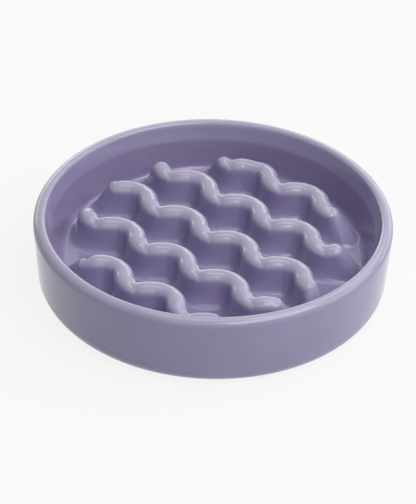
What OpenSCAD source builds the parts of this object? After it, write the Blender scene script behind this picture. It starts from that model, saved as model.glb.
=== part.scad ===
// Slow feeder bowl: a glazed stoneware bowl whose floor carries five wavy ridges, on a non-slip ring.
// Units are millimetres and Z points up. The origin is the centre of the base, on the table.
// The ridges run along X, and the pattern is centred on the bowl in Y.

/* [Bowl] */
// Outside diameter at the rim
bowl_d = 200; // [190:1:230]
// Height from the table to the top of the rim
bowl_h = 44.5; // [42:0.5:60]
// How much smaller the outside radius is near the base than at the rim
wall_taper = 2; // [0:0.5:8]
// Radius of the rounding outside the rim
rim_outer_r = 4.6; // [3:0.1:6]
// Radius of the rounding inside the rim
rim_inner_r = 2.4; // [1.5:0.1:4]
// Radius of the rounding at the bottom edge
base_r = 9; // [5:0.5:10]

/* [Well] */
// Height of the eating floor above the table
floor_z = 16; // [14:0.5:20]
// Thickness of the floor
floor_t = 7; // [5:0.5:8]
// Thickness of the wall near the floor
wall_t = 11.4; // [10:0.1:15]
// Radius of the rounding between the floor and the wall
floor_fillet = 5; // [3:0.5:8]

/* [Wave ridges] */
// Distance between neighbouring ridges
ridge_pitch = 31.7; // [30:0.1:34]
// Height of the ridges above the floor, at their raised lobes
ridge_h = 19.2; // [14:0.1:20]
// Radius of the round crest of a lobe
crest_r = 5.8; // [5:0.1:6.2]
// Slope of the sides from upright, in degrees
side_draft = 5; // [4:0.5:7]
// Radius of the rounding where a side meets the floor
toe_r = 2.4; // [1:0.1:2.5]
// Radius of a bend, on the ridge's middle line
bend_r = 11.6; // [11:0.1:13]
// How far a bend turns on each side of its tip, in degrees
half_turn = 41.5; // [38:0.5:45]
// Length of the straight stretch between two bends
straight_l = 4.9; // [4:0.1:7]
// How far the waves are shifted along the ridges
wave_shift = -1.1; // [-4:0.1:4]
// Distance between the ridge ends, at the crest, and the edge of the flat floor
end_inset = 10.1; // [9:0.1:13]
// Slope of the ridge ends from upright, in degrees
end_draft = 30; // [20:1:31]
// Radius of the rounding where the crest turns down at a ridge end
end_r = 4; // [2:0.5:6]

/* [Raised lobes] */
// How much a lobe rises over the rest of its ridge
lobe_rise = 0.8; // [0.5:0.1:1.5]
// How much narrower a ridge is on each side between its lobes
lobe_slim = 0.15; // [0.1:0.05:0.3]

/* [Underside] */
// Height of the foot above the table, which the ring fills
foot_z = 0.8; // [0.5:0.1:1.5]
// Width of the flat foot outside the ring's groove
outer_land = 1.25; // [1:0.05:3]
// Width of the flat foot inside the ring's groove
inner_land = 2.75; // [2:0.05:6]
// Rounding in the corner of the recess
recess_fillet = 4; // [2:0.5:6]
// Rounding of the foot's inner edge
foot_round = 1.2; // [0.5:0.1:2]
// Slope of the recess wall from upright, in degrees
recess_draft = 10; // [4:1:14]

/* [Non-slip ring] */
// Width of the ring
ring_w = 6; // [4:0.1:7]
// Depth of the groove that holds the ring
groove_d = 1.6; // [1:0.1:2.5]
// Gap on each side of the ring in its groove
ring_play = 0.15; // [0.1:0.05:0.3]
// Rounding of the ring's lower edges
ring_round = 0.5; // [0.2:0.1:0.7]

/* [Hidden] */
$fn = 56;

// Sides of a whole turn of a ridge's bend
bend_sides = 16;

// Steps in the bowl's large and small roundings, and in a ridge's crest and toe
round_steps = 6;
fine_steps = 3;
crest_steps = 3;
toe_steps = 1;

// Half a wave of a ridge along X, and the height of its zigzag in Y
half_wave = (2 * bend_r + straight_l) * sin(half_turn);
wave_rise = 2 * bend_r * (1 - cos(half_turn)) + straight_l * sin(half_turn);

// Radius of the flat floor, and distance of the ridge ends from the bowl's centre, at the crest
floor_r = bowl_d / 2 - wall_taper - wall_t - floor_fillet;
ridge_end_r = floor_r - end_inset;

// The ridges that cross the floor, counted from the middle one
ridges_aside = floor((ridge_end_r - wave_rise / 2) / ridge_pitch);
ridges = [-ridges_aside:ridges_aside];

// Crest radius and height of a ridge between its lobes
low_r = crest_r - lobe_slim;
low_h = ridge_h - lobe_rise;

// How deep the ridges are rooted in the floor
root_share = 0.4;
root_d = floor_t * root_share;

// A straight stretch is a hair slimmer than what it runs into, and reaches a little way into it
straight_share = 0.995;
joint_share = 0.015;
joint_l = bend_r * joint_share;

// Slope at which a ridge's toe runs into the floor, and the lower slope at which its rounding stops
toe_meet = 20;
toe_stop = 12;

// How far the crest's rounding is followed at a ridge end, in degrees
end_stop = 80;

// Centres of the bowl's roundings, as a radius and a height
outer_rim_c = [bowl_d / 2 - rim_outer_r, bowl_h - rim_outer_r];
inner_rim_c = [outer_rim_c.x, bowl_h - rim_inner_r];
base_c = [bowl_d / 2 - wall_taper - base_r, foot_z + base_r];
fillet_c = [floor_r, floor_z + floor_fillet];

// Direction of the outer wall's normal, from the line that touches the base and rim roundings
outer_run = outer_rim_c - base_c;
outer_normal = atan2(outer_run.y, outer_run.x) - acos((base_r - rim_outer_r) / norm(outer_run));

// Direction of the inner wall's normal, from the line that touches the rim and floor roundings
inner_run = inner_rim_c - fillet_c;
inner_normal = atan2(inner_run.y, inner_run.x) + acos(-(rim_inner_r + floor_fillet) / norm(inner_run));

// Groove of the ring, and the ring in it
groove_out = base_c.x - outer_land;
groove_in = groove_out - ring_w - 2 * ring_play;
groove_top = foot_z + groove_d;
ring_out = groove_out - ring_play;
ring_in = groove_in + ring_play;

// Inner edge of the foot, underside of the floor, and the corner of the recess there
foot_c = [groove_in - inner_land, foot_z + foot_round];
recess_r = foot_c.x - foot_round;
recess_z = floor_z - floor_t;
recess_lean = (recess_z - foot_z) * tan(recess_draft);
recess_c = [recess_r - recess_lean - recess_fillet, recess_z - recess_fillet];

// Points along an arc from one angle to another, with or without its first point
function arc(c, r, from, to, steps, first = 0) =
    [for (i = [first:steps]) let (a = from + (to - from) * i / steps) c + r * [cos(a), sin(a)]];

// A list of points mirrored left to right, in the opposite order and without its first point
function mirrored(points) =
    [for (i = [len(points) - 1:-1:1]) [-points[i].x, points[i].y]];

// Right half of a ridge's section above the floor, from the crest to the toe, for a crest radius and a height
function ridge_half(r, h) =
    let (toe_z = toe_r * cos(toe_meet))
    let (side_top = [0, h - r] + r * [cos(side_draft), sin(side_draft)])
    let (side_foot_z = toe_z - toe_r * sin(side_draft))
    let (side_foot_x = side_top.x + (side_top.y - side_foot_z) * tan(side_draft))
    concat(
        arc([0, h - r], r, 90, side_draft, crest_steps),
        arc([side_foot_x + toe_r * cos(side_draft), toe_z], toe_r, 180 + side_draft, 270 - toe_stop, toe_steps)
    );

low_half = ridge_half(low_r, low_h);
lobe_half = ridge_half(crest_r, ridge_h);

// Section across a ridge, with its root below the floor
module ridge_section(half) {
    foot = half[len(half) - 1].x;
    polygon(concat(mirrored(half), half, [[foot, -root_d], [-foot, -root_d]]));
}

// One bend of a ridge, whose tip points towards -Y from the origin
module bend(half) {
    translate([0, bend_r, 0])
        rotate_extrude(angle = 2 * half_turn, start = 270 - half_turn, $fn = bend_sides)
            translate([bend_r, 0])
                ridge_section(half);
}

// One straight stretch of a ridge about the origin, whose ends reach into the bends
module stretch(half) {
    rotate([90, 0, 90])
        linear_extrude(straight_l + 2 * joint_l, center = true)
            scale([straight_share, straight_share])
                ridge_section(half);
}

// Half waves that ridge k needs on each side of its middle to reach its ends
function half_waves(k) =
    let (inner_y = abs(k) * ridge_pitch - wave_rise / 2)
    let (reach = sqrt(pow(end_foot_r, 2) - pow(inner_y, 2)) + abs(wave_shift))
    ceil((reach - bend_r * sin(half_turn)) / half_wave);

// Whole ridge k along X: a raised lobe runs down to each trough and through it, and the rest is lower
module wave_line(k) {
    count = half_waves(k);
    for (i = [-count:count])
        translate([i * half_wave, 0, 0])
            if ((i + k) % 2 == 0) {
                translate([0, -wave_rise / 2, 0])
                    bend(lobe_half);
                translate([-half_wave / 2, 0, 0])
                    rotate([0, 0, -half_turn])
                        stretch(lobe_half);
                translate([half_wave / 2, 0, 0])
                    rotate([0, 0, half_turn])
                        stretch(low_half);
            }
            else
                translate([0, wave_rise / 2, 0])
                    rotate([0, 0, 180])
                        bend(low_half);
}

// Ends of the ridges: a rounding below the crest, then a slope to the floor
end_c = [ridge_end_r - end_r, ridge_h - end_r];
end_slope = end_c + end_r * [cos(end_draft), sin(end_draft)];
end_foot_r = end_slope.x + end_slope.y * tan(end_draft);

// The round zone that all ridges end at
module ridge_zone() {
    root_r = end_foot_r + root_d * tan(end_draft);
    rotate_extrude()
        polygon(concat(
            [[0, -root_d], [root_r, -root_d]],
            arc(end_c, end_r, end_draft, end_stop, fine_steps),
            [[0, ridge_h + end_r]]
        ));
}

// The five ridges, with neighbours out of step
module wave_ridges() {
    translate([0, 0, floor_z])
        intersection() {
            ridge_zone();
            translate([wave_shift, 0, 0])
                for (k = ridges)
                    translate([0, k * ridge_pitch, 0])
                        wave_line(k);
        }
}

// The bowl without its ridges
module basin() {
    rotate_extrude()
        polygon(concat(
            [[0, recess_z]],
            arc(recess_c, recess_fillet, 90, recess_draft, fine_steps),
            arc(foot_c, foot_round, 180 + recess_draft, 270, fine_steps),
            [[groove_in, foot_z], [groove_in, groove_top], [groove_out, groove_top], [groove_out, foot_z]],
            arc(base_c, base_r, -90, outer_normal, round_steps),
            arc(outer_rim_c, rim_outer_r, outer_normal, 90, round_steps),
            arc(inner_rim_c, rim_inner_r, 90, inner_normal, round_steps, 1),
            arc(fillet_c, floor_fillet, inner_normal - 180, -90, round_steps),
            [[0, floor_z]]
        ));
}

// Glazed stoneware casting: the basin and its ridges are one piece
module bowl() {
    color("#8f88ad")
        union() {
            basin();
            wave_ridges();
        }
}

// Silicone ring in the groove of the foot
module non_slip_ring() {
    color("#6c6a74")
        rotate_extrude()
            polygon(concat(
                arc([ring_in + ring_round, ring_round], ring_round, 180, 270, fine_steps),
                arc([ring_out - ring_round, ring_round], ring_round, -90, 0, fine_steps),
                [[ring_out, groove_top], [ring_in, groove_top]]
            ));
}

bowl();
non_slip_ring();
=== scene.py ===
"""Looks of the slow feeder bowl: a glazed stoneware bowl with wave ridges, on a non-slip ring.

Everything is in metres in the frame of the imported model: Z up from the table, X along the ridges.
"""

import math

import bmesh
import bpy
import numpy as np
from mathutils import Matrix, Vector
from mathutils.kdtree import KDTree


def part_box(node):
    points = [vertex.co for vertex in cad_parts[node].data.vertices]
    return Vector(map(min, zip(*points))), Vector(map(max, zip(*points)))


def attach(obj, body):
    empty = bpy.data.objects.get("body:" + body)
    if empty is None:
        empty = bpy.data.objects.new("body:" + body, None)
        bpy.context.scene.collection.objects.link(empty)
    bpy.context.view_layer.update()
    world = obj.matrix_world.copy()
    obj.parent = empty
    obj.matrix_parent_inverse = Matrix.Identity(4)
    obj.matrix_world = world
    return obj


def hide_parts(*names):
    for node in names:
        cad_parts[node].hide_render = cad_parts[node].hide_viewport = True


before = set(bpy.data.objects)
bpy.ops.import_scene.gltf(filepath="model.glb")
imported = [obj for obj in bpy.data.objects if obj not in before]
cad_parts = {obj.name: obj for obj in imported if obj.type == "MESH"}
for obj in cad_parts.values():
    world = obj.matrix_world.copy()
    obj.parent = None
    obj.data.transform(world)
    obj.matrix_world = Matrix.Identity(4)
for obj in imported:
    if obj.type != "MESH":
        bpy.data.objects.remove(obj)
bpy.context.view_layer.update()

MM = 0.001

# Sizes of the bowl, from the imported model's box
bowl_low, bowl_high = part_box("bowl")
ring_low, ring_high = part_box("non_slip_ring")
RIM_R = bowl_high.x
RIM_Z = bowl_high.z
FOOT_Z = bowl_low.z
RING_OUT = ring_high.x
RING_TOP = ring_high.z

# Sizes of the bowl's section
WALL_TAPER = 2 * MM
RIM_OUTER_R = 4.6 * MM
RIM_INNER_R = 2.4 * MM
BASE_R = 9 * MM
FLOOR_Z = 16 * MM
FLOOR_T = 7 * MM
FLOOR_R = 81.6 * MM
FLOOR_FILLET = 5 * MM
RECESS_R = 77.5 * MM
RECESS_FILLET = 4 * MM
RECESS_DRAFT = 10
FOOT_ROUND = 1.2 * MM
RING_W = 6 * MM
RING_PLAY = 0.15 * MM
RING_ROUND = 0.5 * MM

# Middle line of a ridge: arcs and short straight stretches that wind along X, with the places
# and headings averaged over a short length, so that the bends begin gently
RIDGE_PITCH = 31.72 * MM
BEND_R = 11.6 * MM
STRAIGHT_L = 4.9 * MM
WAVE_SHIFT = -1.1 * MM
HALF_TURN = math.radians(41.5)
HALF_WAVE = (2 * BEND_R + STRAIGHT_L) * math.sin(HALF_TURN)
WAVE_RISE = 2 * BEND_R * (1 - math.cos(HALF_TURN)) + STRAIGHT_L * math.sin(HALF_TURN)
WAVES_ASIDE = math.ceil(RIM_R / HALF_WAVE)
SPINE_BLUR = 1.8 * MM

# Section of a ridge: its height and crest radius at the lobes, the slope of its sides in degrees, the
# elliptic toe at the floor, the angle before level at which the toe stops, and the root in the floor
RIDGE_H = 19.35 * MM
RIDGE_R = 5.8 * MM
SIDE_DRAFT = 5
TOE_W = 5 * MM
TOE_H = 10 * MM
TOE_STOP = 3
ROOT_D = 1.5 * MM

# A band follows the whole middle line. It is this much lower and narrower than a lobe
LOBE_RISE = 0.4 * MM
LOBE_SLIM = 0.15 * MM

# Before a front bend the band rises to the lobe: where it starts and stops, from the bend's tip, and each ramp
RISE_START = -17 * MM
RISE_STOP = -5 * MM
RISE_L = 6 * MM

# Raised lobes. Each starts inside the band shortly before a front bend, a little lower and narrower,
# and runs on past it in a wider bend, where its tail sinks and narrows
LOBE_DRAFT = 0
LOBE_LEAD = 2 * MM
START_L = 3 * MM
START_DROP = 0.2 * MM
START_SLIM = 0.2 * MM
TAIL_R = 20 * MM
TAIL_L = 12 * MM
TAIL_SLIM = 2.6 * MM
TAIL_DROP = 2.4 * MM

# The band dips under a lobe's tail, then arches up and back on its way to the next lobe.
# Places are distances past the tip of the front bend, along X
DIP = 1.1 * MM
DIP_PLACE = 1.5 * MM
DIP_HALF_L = 6 * MM
ARCH_PLACE = 8 * MM
ARCH_HALF_L = 9 * MM
ARCH_RISE = 0.35 * MM
ARCH_BACK = 0.7 * MM

# Left and right end of each ridge, counted from the middle one to the back:
# the distance from the bowl's axis, and the slope from upright in degrees
ENDS = {
    2: ((70.5 * MM, 36), (70.5 * MM, 38)),
    1: ((69.5 * MM, 30), (69.5 * MM, 38)),
    0: ((70 * MM, 30), (71 * MM, 38)),
    -1: ((72.5 * MM, 30), (73 * MM, 38)),
    -2: ((76 * MM, 40), (78 * MM, 38)),
}

# How far up the wall the toe of a ridge runs. The front ridge is so near the wall that it stays on the floor
CLIMB = {2: 17 * MM, 1: 17 * MM, 0: 17 * MM, -1: 17 * MM, -2: 1.5 * MM}

# Beyond a distance from the axis the crest sinks and narrows over a length
END_DROP = 2.2 * MM
END_SLIM = 1.4 * MM
END_DROP_START = 70 * MM
END_DROP_L = 8 * MM

# Fineness of the meshes
TURN_STEPS = 360
BASE_STEPS = 16
OUTER_RIM_STEPS = 18
INNER_STEPS = 14
RECESS_STEPS = 8
FOOT_STEPS = 6
WALL_STEPS = 12
FLOOR_STEPS = 24
CREST_STEPS = 16
SIDE_STEPS = 6
TOE_STEPS = 14
CAP_STEPS = 36
STATION = 0.4 * MM

# Welding and sharpness of the meshes, and how the creases between bands and lobes are rounded
WELD = 0.001 * MM
SHARP_ANGLE = math.radians(50)
CREASE_ANGLE = math.radians(12)
CREASE_REACH = 2 * MM
CREASE_ROUNDS = 36

# How the glaze's colour paints light: how soon a crest pales with its height (thinner glaze there, and a painted
# highlight), as the slope and offset of a share of the ridge's height, and how strongly the inner corners (pooled
# glaze and painted shade) and the inner wall (painted shade) deepen
CREST_HIGHLIGHT_SLOPE = 2.8
CREST_HIGHLIGHT_OFFSET = 1.8
POOL_AND_SHADE_SHARE = 0.15
WALL_SHADE_SHARE = 0.8

# Thickness of the lowest layer that is bare stoneware, and how far above the groove's top it is looked for
BARE_H = 0.1 * MM
BARE_REACH = 0.01 * MM

# Linear colours
LAVENDER = (0.335, 0.300, 0.480)
# Paler glaze for the rim and crests is thinner glaze with a painted highlight. Deeper glaze is pooled glaze with
# painted shade in the inner corners, and only painted shade on the inner wall
LAVENDER_THIN_AND_LIT = (0.422, 0.392, 0.530)
LAVENDER_POOLED_AND_SHADED = (0.245, 0.203, 0.345)
LAVENDER_CLOUD = (0.315, 0.272, 0.450)
STONEWARE = (0.62, 0.55, 0.46)
STONEWARE_SPECK = tuple(0.75 * c for c in STONEWARE)
SILICONE = (0.09, 0.085, 0.105)
SILICONE_GRAIN = tuple(1.2 * c for c in SILICONE)

# Finish of the glaze, and the scales of the noises in it and in the other materials, per metre
GLAZE_IOR = 1.5
GLAZE_ROUGHNESS = (0.09, 0.15)
COAT_WEIGHT = 0.25
COAT_ROUGHNESS = 0.05
GLAZE_BUMP = 0.12
GLAZE_BUMP_H = 0.4 * MM
CLOUD_SCALE = 26
SHEEN_SCALE = 140
RIPPLE_SCALE = 75
SILICONE_ROUGHNESS = (0.55, 0.7)
GRAIN_SCALE = 900
STONEWARE_ROUGHNESS = 0.85
STONEWARE_BUMP = 0.4
STONEWARE_BUMP_H = 0.1 * MM
SPECK_SCALE = 1400

# The photograph's camera: the point it looks at, its distance, its tilts, and its focal length and height in pixels
LOOK_AT = Vector((-2.493, 0, 17.636)) * MM
DISTANCE = 1258.64 * MM
ELEVATION = math.radians(35.916)
ROLL = math.radians(1.444)
AZIMUTH = math.radians(38.84)
FOCAL_PX = 2240.2
PHOTO_H = 504

# The floor, whose glow is the share of plain white in what the camera and reflections see, and the world's light
FLOOR_SIZE = 6
FLOOR_COLOUR = (0.70, 0.70, 0.71)
FLOOR_ROUGHNESS = 0.9
FLOOR_GLOW = 0.86
WORLD_COLOUR = (0.93, 0.95, 1.0)
WORLD_LIGHT = 0.18

# Softboxes that look at the bowl: azimuth and elevation in degrees, width and height in metres, power in watts.
# Azimuth 0 is in front of the camera's side of the bowl, and it grows to the right
LAMP_DISTANCE = 1.2
LAMPS = {
    "front_key": (45, 54, 0.95, 0.6, 6.2),
    "top_right": (110, 67, 0.9, 0.5, 1.7),
    "overhead": (180, 86, 0.7, 0.3, 1.5),
    "right": (90, 28, 0.8, 0.6, 2.0),
    "back_right": (135, 45, 0.6, 0.5, 1.2),
    "back_right_low": (135, 10, 0.9, 0.4, 1.2),
    "back_low": (180, 22, 0.9, 0.3, 1.5),
    "back_left": (-150, 14, 0.7, 0.3, 1.0),
    "front_fill": (0, 42, 0.9, 0.6, 1.1),
}


# Sections

def arc(centre, radius, start, end, steps):
    """Points of an arc in a section, from one angle in degrees to another."""
    angles = np.radians(np.linspace(start, end, steps + 1))
    return [(centre[0] + radius * math.cos(a), centre[1] + radius * math.sin(a)) for a in angles]


def line(start, end, steps):
    """Points between two points of a section, without the two themselves."""
    return [tuple(np.array(start) + (np.array(end) - np.array(start)) * i / steps) for i in range(1, steps)]


def tangent_angle(c1, r1, c2, r2, side):
    """Angle in degrees of the normal of the line that touches two circles, on one side of the run c1 to c2."""
    run = (c2[0] - c1[0], c2[1] - c1[1])
    lean = math.acos((r1 - r2) / math.hypot(*run))
    return math.degrees(math.atan2(run[1], run[0]) + side * lean)


outer_rim_c = (RIM_R - RIM_OUTER_R, RIM_Z - RIM_OUTER_R)
inner_rim_c = (outer_rim_c[0], RIM_Z - RIM_INNER_R)
base_c = (RIM_R - WALL_TAPER - BASE_R, FOOT_Z + BASE_R)
fillet_c = (FLOOR_R, FLOOR_Z + FLOOR_FILLET)
outer_normal = tangent_angle(base_c, BASE_R, outer_rim_c, RIM_OUTER_R, -1)
inner_normal = tangent_angle(fillet_c, -FLOOR_FILLET, inner_rim_c, RIM_INNER_R, 1)


def basin_section():
    """Half section of the bowl without its ridges, from the middle of the underside to that of the floor."""
    recess_z = FLOOR_Z - FLOOR_T
    lean = (recess_z - FOOT_Z) * math.tan(math.radians(RECESS_DRAFT))
    recess_c = (RECESS_R - lean - RECESS_FILLET, recess_z - RECESS_FILLET)
    foot_c = (RECESS_R + FOOT_ROUND, FOOT_Z + FOOT_ROUND)
    groove_out = RING_OUT + RING_PLAY
    groove_in = RING_OUT - RING_W - RING_PLAY
    base = arc(base_c, BASE_R, -90, outer_normal, BASE_STEPS)
    outer_rim = arc(outer_rim_c, RIM_OUTER_R, outer_normal, 90, OUTER_RIM_STEPS)
    inner_rim = arc(inner_rim_c, RIM_INNER_R, 90, inner_normal, INNER_STEPS)
    rim = outer_rim + inner_rim[1:]
    fillet = arc(fillet_c, FLOOR_FILLET, inner_normal - 180, -90, INNER_STEPS)
    return (
        [(0, recess_z)]
        + line((0, recess_z), (recess_c[0], recess_z), FOOT_STEPS)
        + arc(recess_c, RECESS_FILLET, 90, RECESS_DRAFT, RECESS_STEPS)
        + arc(foot_c, FOOT_ROUND, 180 + RECESS_DRAFT, 270, FOOT_STEPS)
        + [(groove_in, FOOT_Z), (groove_in, RING_TOP), (groove_out, RING_TOP), (groove_out, FOOT_Z)]
        + base + line(base[-1], rim[0], WALL_STEPS)
        + rim + line(rim[-1], fillet[0], WALL_STEPS)
        + fillet + line(fillet[-1], (0, FLOOR_Z), FLOOR_STEPS)
        + [(0, FLOOR_Z)]
    )


def basin_height(radius):
    """Height of the bowl's inside, without its ridges, at a distance from the axis."""
    lean = math.radians(180 - inner_normal)
    touch_r = fillet_c[0] + FLOOR_FILLET * math.cos(lean)
    touch_z = fillet_c[1] - FLOOR_FILLET * math.sin(lean)
    on_fillet = fillet_c[1] - np.sqrt(np.maximum(FLOOR_FILLET ** 2 - (radius - fillet_c[0]) ** 2, 0))
    shaded_wall = touch_z + (radius - touch_r) / math.tan(lean)
    return np.where(radius <= FLOOR_R, FLOOR_Z, np.where(radius <= touch_r, on_fillet, shaded_wall))


def ridge_half(radius, draft):
    """Right half of a ridge's section, crest to toe: distance from the middle and height above the floor."""
    crest = arc((0, RIDGE_H - radius), radius, 90, draft, CREST_STEPS)
    lean = math.tan(math.radians(draft))
    first = math.atan(TOE_H * lean / TOE_W)
    drop = crest[-1][1] - TOE_H * (1 - math.sin(first))
    toe_x = crest[-1][0] + drop * lean - TOE_W * (1 - math.cos(first))
    turn = np.linspace(first, math.radians(90 - TOE_STOP), TOE_STEPS + 1)
    toe = [(toe_x + TOE_W * (1 - math.cos(a)), TOE_H * (1 - math.sin(a))) for a in turn]
    return np.array(crest + line(crest[-1], toe[0], SIDE_STEPS) + toe)


# Meshes

def make_object(name, verts, faces):
    """A smooth mesh object whose equal points are welded, with its sharp edges kept."""
    mesh = bpy.data.meshes.new(name)
    mesh.from_pydata([tuple(v) for v in verts], [], faces)
    welded = bmesh.new()
    welded.from_mesh(mesh)
    bmesh.ops.remove_doubles(welded, verts=welded.verts, dist=WELD)
    bmesh.ops.recalc_face_normals(welded, faces=welded.faces)
    welded.to_mesh(mesh)
    welded.free()
    mesh.shade_smooth()
    mesh.set_sharp_from_angle(angle=SHARP_ANGLE)
    obj = bpy.data.objects.new(name, mesh)
    bpy.context.scene.collection.objects.link(obj)
    return obj


def unite(base, parts):
    """Base and parts as one closed mesh, in base."""
    group = bpy.data.collections.new("parts")
    bpy.context.scene.collection.children.link(group)
    for part in parts:
        bpy.context.scene.collection.objects.unlink(part)
        group.objects.link(part)
    union = base.modifiers.new("union", "BOOLEAN")
    union.operation = "UNION"
    union.operand_type = "COLLECTION"
    union.collection = group
    union.solver = "MANIFOLD"
    united = bpy.data.meshes.new_from_object(base.evaluated_get(bpy.context.evaluated_depsgraph_get()))
    united.materials.clear()
    base.modifiers.clear()
    base.data = united
    for part in parts:
        bpy.data.objects.remove(part)
    bpy.data.collections.remove(group)


def soften_creases(obj):
    """Rounds the creases where lobes and bands meet, as glaze does, and shades the result smoothly."""
    mesh = bmesh.new()
    mesh.from_mesh(obj.data)
    creases = set()
    for edge in mesh.edges:
        x, y, z = edge.verts[0].co
        on_ridge = z > FLOOR_Z + TOE_W and math.hypot(x, y) < FLOOR_R
        if on_ridge and edge.is_manifold and edge.calc_face_angle() > CREASE_ANGLE:
            creases.update(edge.verts)
    tree = KDTree(len(creases))
    for i, vert in enumerate(creases):
        tree.insert(vert.co, i)
    tree.balance()
    near = [v for v in mesh.verts if tree.find(v.co)[2] < CREASE_REACH]
    for _ in range(CREASE_ROUNDS):
        bmesh.ops.smooth_vert(mesh, verts=near, factor=0.5, use_axis_x=True, use_axis_y=True, use_axis_z=True)
    mesh.to_mesh(obj.data)
    mesh.free()
    obj.data.shade_smooth()
    obj.data.set_sharp_from_angle(angle=SHARP_ANGLE)


def revolve(section):
    """Vertices and faces of a section turned about Z, whose first and last points may lie on the axis."""
    turn = np.linspace(0, 2 * math.pi, TURN_STEPS, endpoint=False)
    verts, rows = [], []
    for r, z in section:
        if r == 0:
            rows.append([len(verts)] * TURN_STEPS)
            verts.append((0, 0, z))
        else:
            rows.append(list(range(len(verts), len(verts) + TURN_STEPS)))
            verts += [(r * math.cos(a), r * math.sin(a), z) for a in turn]
    faces = []
    for low, high in zip(rows, rows[1:]):
        for i in range(TURN_STEPS):
            j = (i + 1) % TURN_STEPS
            ring = [low[i], low[j], high[j], high[i]]
            faces.append(tuple(dict.fromkeys(ring)))
    return verts, faces


def smooth_step(value):
    """A smooth rise from 0 to 1."""
    t = np.clip(value, 0, 1)
    return t * t * (3 - 2 * t)


def end_radius(x, k):
    """Distance from the bowl's axis at which ridge k ends, on the side where x lies."""
    (left, _), (right, _) = ENDS[k]
    return np.where(x < 0, left, right)


def inside_ends(stations, k):
    """The stations of ridge k that lie between its ends, with their crest lower and narrower near an end."""
    radius = np.hypot(stations[:, 0], stations[:, 1])
    near_end = smooth_step((radius - END_DROP_START) / END_DROP_L)
    stations[:, 3] -= END_DROP * near_end
    stations[:, 4] -= END_SLIM * near_end
    return stations[radius < end_radius(stations[:, 0], k)]


def blurred(stations):
    """Evenly spaced stations with their places and headings averaged along the line, so that bends begin gently."""
    half = math.ceil(3 * SPINE_BLUR / STATION)
    weights = np.exp(-0.5 * (np.arange(-half, half + 1) * STATION / SPINE_BLUR) ** 2)
    weights /= weights.sum()
    columns = [np.convolve(column, weights, "valid") for column in stations.T]
    return np.column_stack(columns)


def spine(k):
    """Stations of ridge k's band, along its middle line: x, y, heading, crest height and crest radius."""
    stations = []
    bend_steps = math.ceil(2 * HALF_TURN * BEND_R / STATION)
    straight_steps = math.ceil(STRAIGHT_L / STATION)
    for i in range(-WAVES_ASIDE, WAVES_ASIDE + 1):
        side = 1 if (i + k) % 2 == 0 else -1
        tip = (WAVE_SHIFT + i * HALF_WAVE, k * RIDGE_PITCH - side * WAVE_RISE / 2)
        for a in np.linspace(-HALF_TURN, HALF_TURN, bend_steps + 1):
            x = tip[0] + BEND_R * math.sin(a)
            y = tip[1] + side * BEND_R * (1 - math.cos(a))
            stations.append((x, y, side * a))
        x, y, heading = stations[-1]
        for s in np.linspace(0, STRAIGHT_L, straight_steps + 1)[1:-1]:
            stations.append((x + s * math.cos(heading), y + s * math.sin(heading), heading))
    stations = blurred(np.array(stations))
    past_trough = (stations[:, 0] - WAVE_SHIFT - (k % 2 - 1) * HALF_WAVE) % (2 * HALF_WAVE) - HALF_WAVE
    dip = smooth_step(1 - np.abs(past_trough - DIP_PLACE) / DIP_HALF_L)
    arch = smooth_step(1 - np.abs(past_trough - ARCH_PLACE) / ARCH_HALF_L)
    stations[:, 1] += ARCH_BACK * arch
    rise = smooth_step((past_trough - RISE_START) / RISE_L) * smooth_step((RISE_STOP - past_trough) / RISE_L + 1)
    crest = RIDGE_H - LOBE_RISE * (1 - rise) - DIP * dip + ARCH_RISE * arch
    return inside_ends(np.column_stack([stations, crest, RIDGE_R - LOBE_SLIM * (1 - rise)]), k)


def lobes(k):
    """Stations of each raised lobe of ridge k, from shortly before a front bend to the end of its tail."""
    found = []
    for i in range(-WAVES_ASIDE, WAVES_ASIDE + 1):
        if (i + k) % 2:
            continue
        tip = (WAVE_SHIFT + i * HALF_WAVE, k * RIDGE_PITCH - WAVE_RISE / 2)
        bend = (tip[0] - BEND_R * math.sin(HALF_TURN), tip[1] + BEND_R * (1 - math.cos(HALF_TURN)))
        along = np.arange(-LOBE_LEAD, TAIL_L, STATION)
        turned_by = np.clip(along, 0, None) / TAIL_R
        straight = np.clip(along, None, 0)
        heading = turned_by - HALF_TURN
        x = bend[0] + straight * math.cos(HALF_TURN) + TAIL_R * (np.sin(heading) + math.sin(HALF_TURN))
        y = bend[1] - straight * math.sin(HALF_TURN) + TAIL_R * (math.cos(HALF_TURN) - np.cos(heading))
        past_straight = np.clip(along, 0, None) / TAIL_L
        rising = 1 - smooth_step((along + LOBE_LEAD) / START_L)
        crest = RIDGE_H - TAIL_DROP * past_straight ** 3 - START_DROP * rising
        radius = RIDGE_R - TAIL_SLIM * past_straight ** 2 - START_SLIM * rising
        stations = np.column_stack([x, y, heading, crest, radius])
        stations = inside_ends(stations, k)
        if len(stations) > 1:
            found.append(stations)
    return found


def raised(x, y, height, crest, climb):
    """Height of a ridge's points over the bowl's inside. Its foot follows the floor and climbs the wall a little."""
    base = np.minimum(basin_height(np.hypot(x, y)), FLOOR_Z + climb)
    z = base + (FLOOR_Z + crest - base) * height / RIDGE_H
    return np.where(height < -ROOT_D / 2, base - ROOT_D, z)


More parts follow.
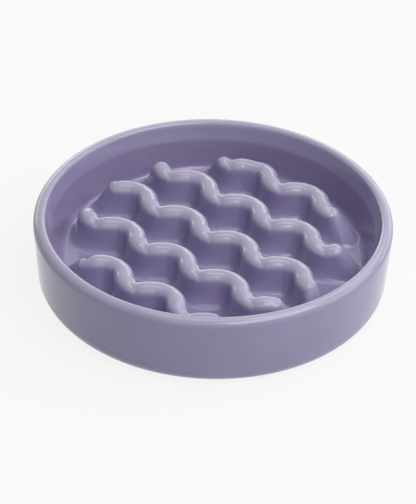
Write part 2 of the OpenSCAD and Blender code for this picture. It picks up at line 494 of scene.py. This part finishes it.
def ridge_body(stations, side_draft, k):
    """Vertices and faces of one closed body of ridge k along its stations, rooted a little way into the floor."""
    verts, faces = [], []

    def add_rows(rows):
        """Faces between rows of points that run from the crest down to the middle of the root."""
        start, count = len(verts), len(rows[0])
        for row in rows:
            verts.extend(row)
        for n in range(len(rows) - 1):
            for i in range(count - 1):
                a = start + n * count + i
                faces.append((a, a + 1, a + count + 1, a + count))

    def row(x, y, direction, half, crest):
        """Points from the crest down one side, in one direction from a point of the middle line."""
        points = np.vstack([half, (half[-1][0], -ROOT_D), (0, -ROOT_D)])
        px = x + points[:, 0] * math.cos(direction)
        py = y + points[:, 0] * math.sin(direction)
        return np.column_stack([px, py, raised(px, py, points[:, 1], crest, CLIMB[k])])

    for hand in (-1, 1):
        rows = []
        for x, y, heading, crest, radius in stations:
            rows.append(row(x, y, heading + hand * math.pi / 2, ridge_half(radius, side_draft), crest))
        add_rows(rows[::hand])
    for end, turn in ((0, math.pi), (-1, 0)):
        x, y, heading, crest, radius = stations[end]
        at_ridge_end = math.hypot(x, y) > end_radius(x, k) - 2 * STATION
        rows = []
        for b in np.linspace(-math.pi / 2, math.pi / 2, CAP_STEPS + 1):
            draft = side_draft
            if at_ridge_end:
                draft += (ENDS[k][0 if x < 0 else 1][1] - side_draft) * math.cos(b) ** 2
            rows.append(row(x, y, heading + turn + b, ridge_half(radius, draft), crest))
        add_rows(rows[::-1])
    return verts, faces


def painted_light_weights(verts):
    """Paler above 0 on the rim and crests, thinner glaze with a painted highlight; deeper below 0 in the inner
    corners, pooled glaze with painted shade, and on the inner wall, painted shade.
    """
    co = np.array(verts, float)
    radius, z = np.hypot(co[:, 0], co[:, 1]), co[:, 2]
    # The rim's top pales: thinner glaze there, and a painted highlight
    on_rim = np.clip((z - (RIM_Z - RIM_INNER_R)) / RIM_INNER_R, 0, 1)
    inside = (radius < RIM_R - 2 * RIM_OUTER_R) & (z > FLOOR_Z - ROOT_D)
    # Crests pale with their height: thinner glaze there, and a painted highlight
    crest = np.clip((z - FLOOR_Z) / RIDGE_H * CREST_HIGHLIGHT_SLOPE - CREST_HIGHLIGHT_OFFSET, 0, 1)
    on_crest = np.where(inside & (radius < FLOOR_R), crest, 0)
    # Inner corners deepen: pooled glaze, and painted shade
    pooled_and_shaded_corners = np.where(inside, np.clip(1 - np.abs(z - FLOOR_Z - TOE_W / 2) / TOE_W, 0, 1), 0)
    # The inner wall deepens: painted shade
    wall = np.clip((z - FLOOR_Z) / TOE_W, 0, 1) * np.clip((RIM_Z - z) / TOE_W, 0, 1)
    shaded_wall = np.where(inside & (radius > FLOOR_R), wall, 0)
    return on_rim + on_crest - POOL_AND_SHADE_SHARE * pooled_and_shaded_corners - WALL_SHADE_SHARE * shaded_wall


bowl = make_object("bowl_glazed", *revolve(basin_section()))
ridge_bodies = []
for k in sorted(ENDS):
    ridge_bodies.append(make_object("band", *ridge_body(spine(k), SIDE_DRAFT, k)))
    ridge_bodies += [make_object("lobe", *ridge_body(lobe, LOBE_DRAFT, k)) for lobe in lobes(k)]
unite(bowl, ridge_bodies)
soften_creases(bowl)
# Share of paler and deeper glaze colour. It paints highlights and shade as well as thin and pooled glaze
bowl_light_paint = bowl.data.attributes.new("glaze_and_painted_light", "FLOAT", "POINT")
bowl_light_paint.data.foreach_set("value", painted_light_weights([v.co for v in bowl.data.vertices]).astype(np.float32))
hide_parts("bowl")
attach(bowl, "root")


def ring_section():
    """Section of the non-slip ring, with rounded lower edges, from its inner edge round to it again."""
    inner, outer = RING_OUT - RING_W, RING_OUT
    return (
        arc((inner + RING_ROUND, RING_ROUND), RING_ROUND, 180, 270, FOOT_STEPS)
        + arc((outer - RING_ROUND, RING_ROUND), RING_ROUND, -90, 0, FOOT_STEPS)
        + [(outer, RING_TOP), (inner, RING_TOP), (inner, RING_ROUND)]
    )


ring_verts, ring_faces = revolve(ring_section())
ring = make_object("non_slip_ring_detail", ring_verts, ring_faces)
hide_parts("non_slip_ring")
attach(ring, "root")


# Materials

def new_material(name):
    """A material with an empty node tree, its nodes and links, and a shader on its output."""
    material = bpy.data.materials.new(name)
    material.use_nodes = True
    nodes, links = material.node_tree.nodes, material.node_tree.links
    nodes.clear()
    output = nodes.new("ShaderNodeOutputMaterial")
    shader = nodes.new("ShaderNodeBsdfPrincipled")
    links.new(shader.outputs["BSDF"], output.inputs["Surface"])
    return material, nodes, links, shader


def noise(nodes, links, scale, detail, roughness=0.5):
    """A noise texture in metres of the object's own frame."""
    place = nodes.new("ShaderNodeTexCoord")
    texture = nodes.new("ShaderNodeTexNoise")
    texture.inputs["Scale"].default_value = scale
    texture.inputs["Detail"].default_value = detail
    texture.inputs["Roughness"].default_value = roughness
    links.new(place.outputs["Object"], texture.inputs["Vector"])
    return texture.outputs["Fac"]


def mapped(nodes, links, value, given, wanted=(0, 1)):
    """A value carried from a given range to a wanted one."""
    node = nodes.new("ShaderNodeMapRange")
    node.inputs["From Min"].default_value, node.inputs["From Max"].default_value = given
    node.inputs["To Min"].default_value, node.inputs["To Max"].default_value = wanted
    links.new(value, node.inputs["Value"])
    return node.outputs["Result"]


def mixed(nodes, links, factor, low, high):
    """A mix of two colours, each a colour or a socket."""
    node = nodes.new("ShaderNodeMix")
    node.data_type = "RGBA"
    links.new(factor, node.inputs["Factor"])
    colour_inputs = [socket for socket in node.inputs if socket.type == "RGBA"]
    for socket, value in zip(colour_inputs, (low, high)):
        if isinstance(value, tuple):
            socket.default_value = (*value, 1)
        else:
            links.new(value, socket)
    return next(socket for socket in node.outputs if socket.type == "RGBA")


def add_bump(nodes, links, shader, height, strength, distance):
    """Bump on a shader, from a height between 0 and 1 that stands for a distance."""
    bump = nodes.new("ShaderNodeBump")
    bump.inputs["Strength"].default_value = strength
    bump.inputs["Distance"].default_value = distance
    links.new(height, bump.inputs["Height"])
    links.new(bump.outputs["Normal"], shader.inputs["Normal"])


def glaze_material():
    """Glossy lavender glaze: paler on the rim and crests, for thinner glaze there and a painted highlight; deeper in
    the inner corners, for pooled glaze and painted shade, and on the inner wall, for painted shade.
    """
    material, nodes, links, shader = new_material("lavender_glaze")
    light_paint = nodes.new("ShaderNodeAttribute")
    light_paint.attribute_name = "glaze_and_painted_light"
    cloud = mapped(nodes, links, noise(nodes, links, CLOUD_SCALE, 4), (0.38, 0.66))
    body = mixed(nodes, links, cloud, LAVENDER, LAVENDER_CLOUD)
    # Paler share: thin glaze and a painted highlight on the rim and crests. Deeper share: pooled glaze and painted
    # shade in the corners, and painted shade on the inner wall
    thin_and_lit_share = mapped(nodes, links, light_paint.outputs["Fac"], (0, 1))
    pooled_and_shaded_share = mapped(nodes, links, light_paint.outputs["Fac"], (0, -1))
    thin_and_lit = mixed(nodes, links, thin_and_lit_share, body, LAVENDER_THIN_AND_LIT)
    links.new(mixed(nodes, links, pooled_and_shaded_share, thin_and_lit, LAVENDER_POOLED_AND_SHADED), shader.inputs["Base Color"])
    sheen = mapped(nodes, links, noise(nodes, links, SHEEN_SCALE, 2), (0.3, 0.7), GLAZE_ROUGHNESS)
    links.new(sheen, shader.inputs["Roughness"])
    shader.inputs["IOR"].default_value = GLAZE_IOR
    shader.inputs["Coat Weight"].default_value = COAT_WEIGHT
    shader.inputs["Coat Roughness"].default_value = COAT_ROUGHNESS
    ripple = noise(nodes, links, RIPPLE_SCALE, 2, 0.4)
    add_bump(nodes, links, shader, ripple, GLAZE_BUMP, GLAZE_BUMP_H)
    return material


def silicone_material():
    """Dull grey silicone with a fine grain."""
    material, nodes, links, shader = new_material("grey_silicone")
    grain = mapped(nodes, links, noise(nodes, links, GRAIN_SCALE, 2), (0.3, 0.7))
    links.new(mixed(nodes, links, grain, SILICONE, SILICONE_GRAIN), shader.inputs["Base Color"])
    links.new(mapped(nodes, links, grain, (0, 1), SILICONE_ROUGHNESS), shader.inputs["Roughness"])
    return material


def stoneware_material():
    """Bare fired clay of the foot, where the glaze is wiped off."""
    material, nodes, links, shader = new_material("bare_stoneware")
    speck = mapped(nodes, links, noise(nodes, links, SPECK_SCALE, 4, 0.7), (0.42, 0.62))
    links.new(mixed(nodes, links, speck, STONEWARE, STONEWARE_SPECK), shader.inputs["Base Color"])
    shader.inputs["Roughness"].default_value = STONEWARE_ROUGHNESS
    add_bump(nodes, links, shader, speck, STONEWARE_BUMP, STONEWARE_BUMP_H)
    return material


bowl.data.materials.append(glaze_material())
bowl.data.materials.append(stoneware_material())
for face in bowl.data.polygons:
    radius = face.center.xy.length
    on_foot = face.center.z < FOOT_Z + BARE_H
    near_ring = RING_OUT - RING_W - 2 * RING_PLAY < radius < RING_OUT + 2 * RING_PLAY
    in_groove = near_ring and face.center.z <= RING_TOP + BARE_REACH
    face.material_index = 1 if on_foot or in_groove else 0
ring.data.materials.append(silicone_material())


# Camera, at the photograph's place

turned = Matrix.Rotation(AZIMUTH, 3, "Z")
away = turned @ Vector((0, -math.cos(ELEVATION), math.sin(ELEVATION)))
camera_data = bpy.data.cameras.new("camera")
camera_data.lens = FOCAL_PX / PHOTO_H * camera_data.sensor_width
camera = bpy.data.objects.new("camera", camera_data)
camera.location = turned @ LOOK_AT + DISTANCE * away
camera.rotation_euler = (away.to_track_quat("Z", "Y").to_matrix() @ Matrix.Rotation(ROLL, 3, "Z")).to_euler()
bpy.context.scene.collection.objects.link(camera)
bpy.context.scene.camera = camera


# Floor, world and lamps

def add_plane(name, size):
    """A square on the table's plane."""
    verts = [(x * size / 2, y * size / 2, 0) for x, y in ((-1, -1), (1, -1), (1, 1), (-1, 1))]
    mesh = bpy.data.meshes.new(name)
    mesh.from_pydata(verts, [], [(0, 1, 2, 3)])
    obj = bpy.data.objects.new(name, mesh)
    bpy.context.scene.collection.objects.link(obj)
    return obj


def seen_directly(nodes, links):
    """1 for rays from the camera or a reflection, 0 for rays that carry light."""
    path = nodes.new("ShaderNodeLightPath")
    total = path.outputs["Is Camera Ray"]
    for name in ("Is Glossy Ray", "Is Transmission Ray"):
        add = nodes.new("ShaderNodeMath")
        add.operation = "MAXIMUM"
        links.new(total, add.inputs[0])
        links.new(path.outputs[name], add.inputs[1])
        total = add.outputs[0]
    return total


floor = add_plane("floor", FLOOR_SIZE)
floor_material, nodes, links, floor_shader = new_material("pale_floor")
floor_shader.inputs["Base Color"].default_value = (*FLOOR_COLOUR, 1)
floor_shader.inputs["Roughness"].default_value = FLOOR_ROUGHNESS
glow = nodes.new("ShaderNodeEmission")
blend = nodes.new("ShaderNodeMixShader")
share = nodes.new("ShaderNodeMath")
share.operation = "MULTIPLY"
share.inputs[1].default_value = FLOOR_GLOW
links.new(seen_directly(nodes, links), share.inputs[0])
links.new(share.outputs[0], blend.inputs["Fac"])
links.new(floor_shader.outputs["BSDF"], blend.inputs[1])
links.new(glow.outputs["Emission"], blend.inputs[2])
output = next(n for n in nodes if n.type == "OUTPUT_MATERIAL")
links.new(blend.outputs["Shader"], output.inputs["Surface"])
floor.data.materials.append(floor_material)

world = bpy.data.worlds.new("studio")
bpy.context.scene.world = world
world.use_nodes = True
nodes, links = world.node_tree.nodes, world.node_tree.links
nodes.clear()
surround = nodes.new("ShaderNodeBackground")
surround.inputs["Color"].default_value = (*WORLD_COLOUR, 1)
surround.inputs["Strength"].default_value = WORLD_LIGHT
backdrop = nodes.new("ShaderNodeBackground")
backdrop.inputs["Color"].default_value = (1, 1, 1, 1)
blend = nodes.new("ShaderNodeMixShader")
world_output = nodes.new("ShaderNodeOutputWorld")
links.new(seen_directly(nodes, links), blend.inputs["Fac"])
links.new(surround.outputs["Background"], blend.inputs[1])
links.new(backdrop.outputs["Background"], blend.inputs[2])
links.new(blend.outputs["Shader"], world_output.inputs["Surface"])


def add_softbox(name, azimuth, elevation, width, height, power):
    """A rectangular area light that looks at the bowl's base and that the camera doesn't see."""
    data = bpy.data.lights.new(name, "AREA")
    data.shape = "RECTANGLE"
    data.size = width
    data.size_y = height
    data.energy = power
    lamp = bpy.data.objects.new(name, data)
    a, e = math.radians(azimuth), math.radians(elevation)
    direction = turned @ Vector((math.sin(a) * math.cos(e), -math.cos(a) * math.cos(e), math.sin(e)))
    lamp.location = direction * LAMP_DISTANCE
    lamp.rotation_euler = direction.to_track_quat("Z", "Y").to_euler()
    lamp.visible_camera = False
    bpy.context.scene.collection.objects.link(lamp)


for lamp_name, lamp_settings in LAMPS.items():
    add_softbox(lamp_name, *lamp_settings)

bpy.context.scene.view_settings.view_transform = "Standard"
